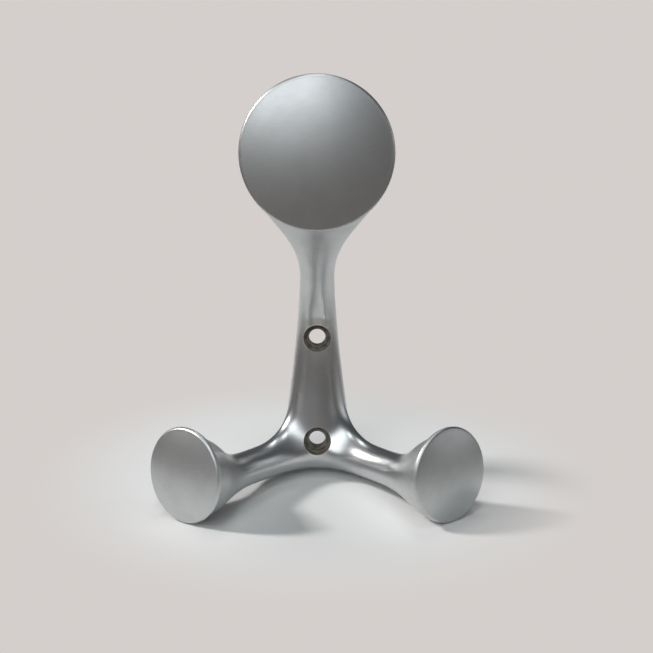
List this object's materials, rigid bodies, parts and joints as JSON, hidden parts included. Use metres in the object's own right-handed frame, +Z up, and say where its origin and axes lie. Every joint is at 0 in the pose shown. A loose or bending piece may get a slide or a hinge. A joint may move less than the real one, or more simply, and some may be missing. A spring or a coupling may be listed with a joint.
{
  "type": "three-arm coat hook",
  "caption": "One-piece cast wall hook: a spine with counterbored screw holes, a tall upper arm and splayed lower arms, each flaring into a domed disc that keeps a coat loop on.",
  "frame": {"origin": "on the wall plane, midway between the two screw holes", "axes": "+Z up along the spine, -Y out of the wall towards the front, +X to the right as seen from the front"},
  "size_m": [0.098, 0.0464, 0.1274],
  "materials": {
    "cast_aluminium": "satin cast aluminium, smoother on the hub and stem"
  },
  "bodies": {
    "root": {"hook_casting": "cast_aluminium"}
  },
  "joints": []
}
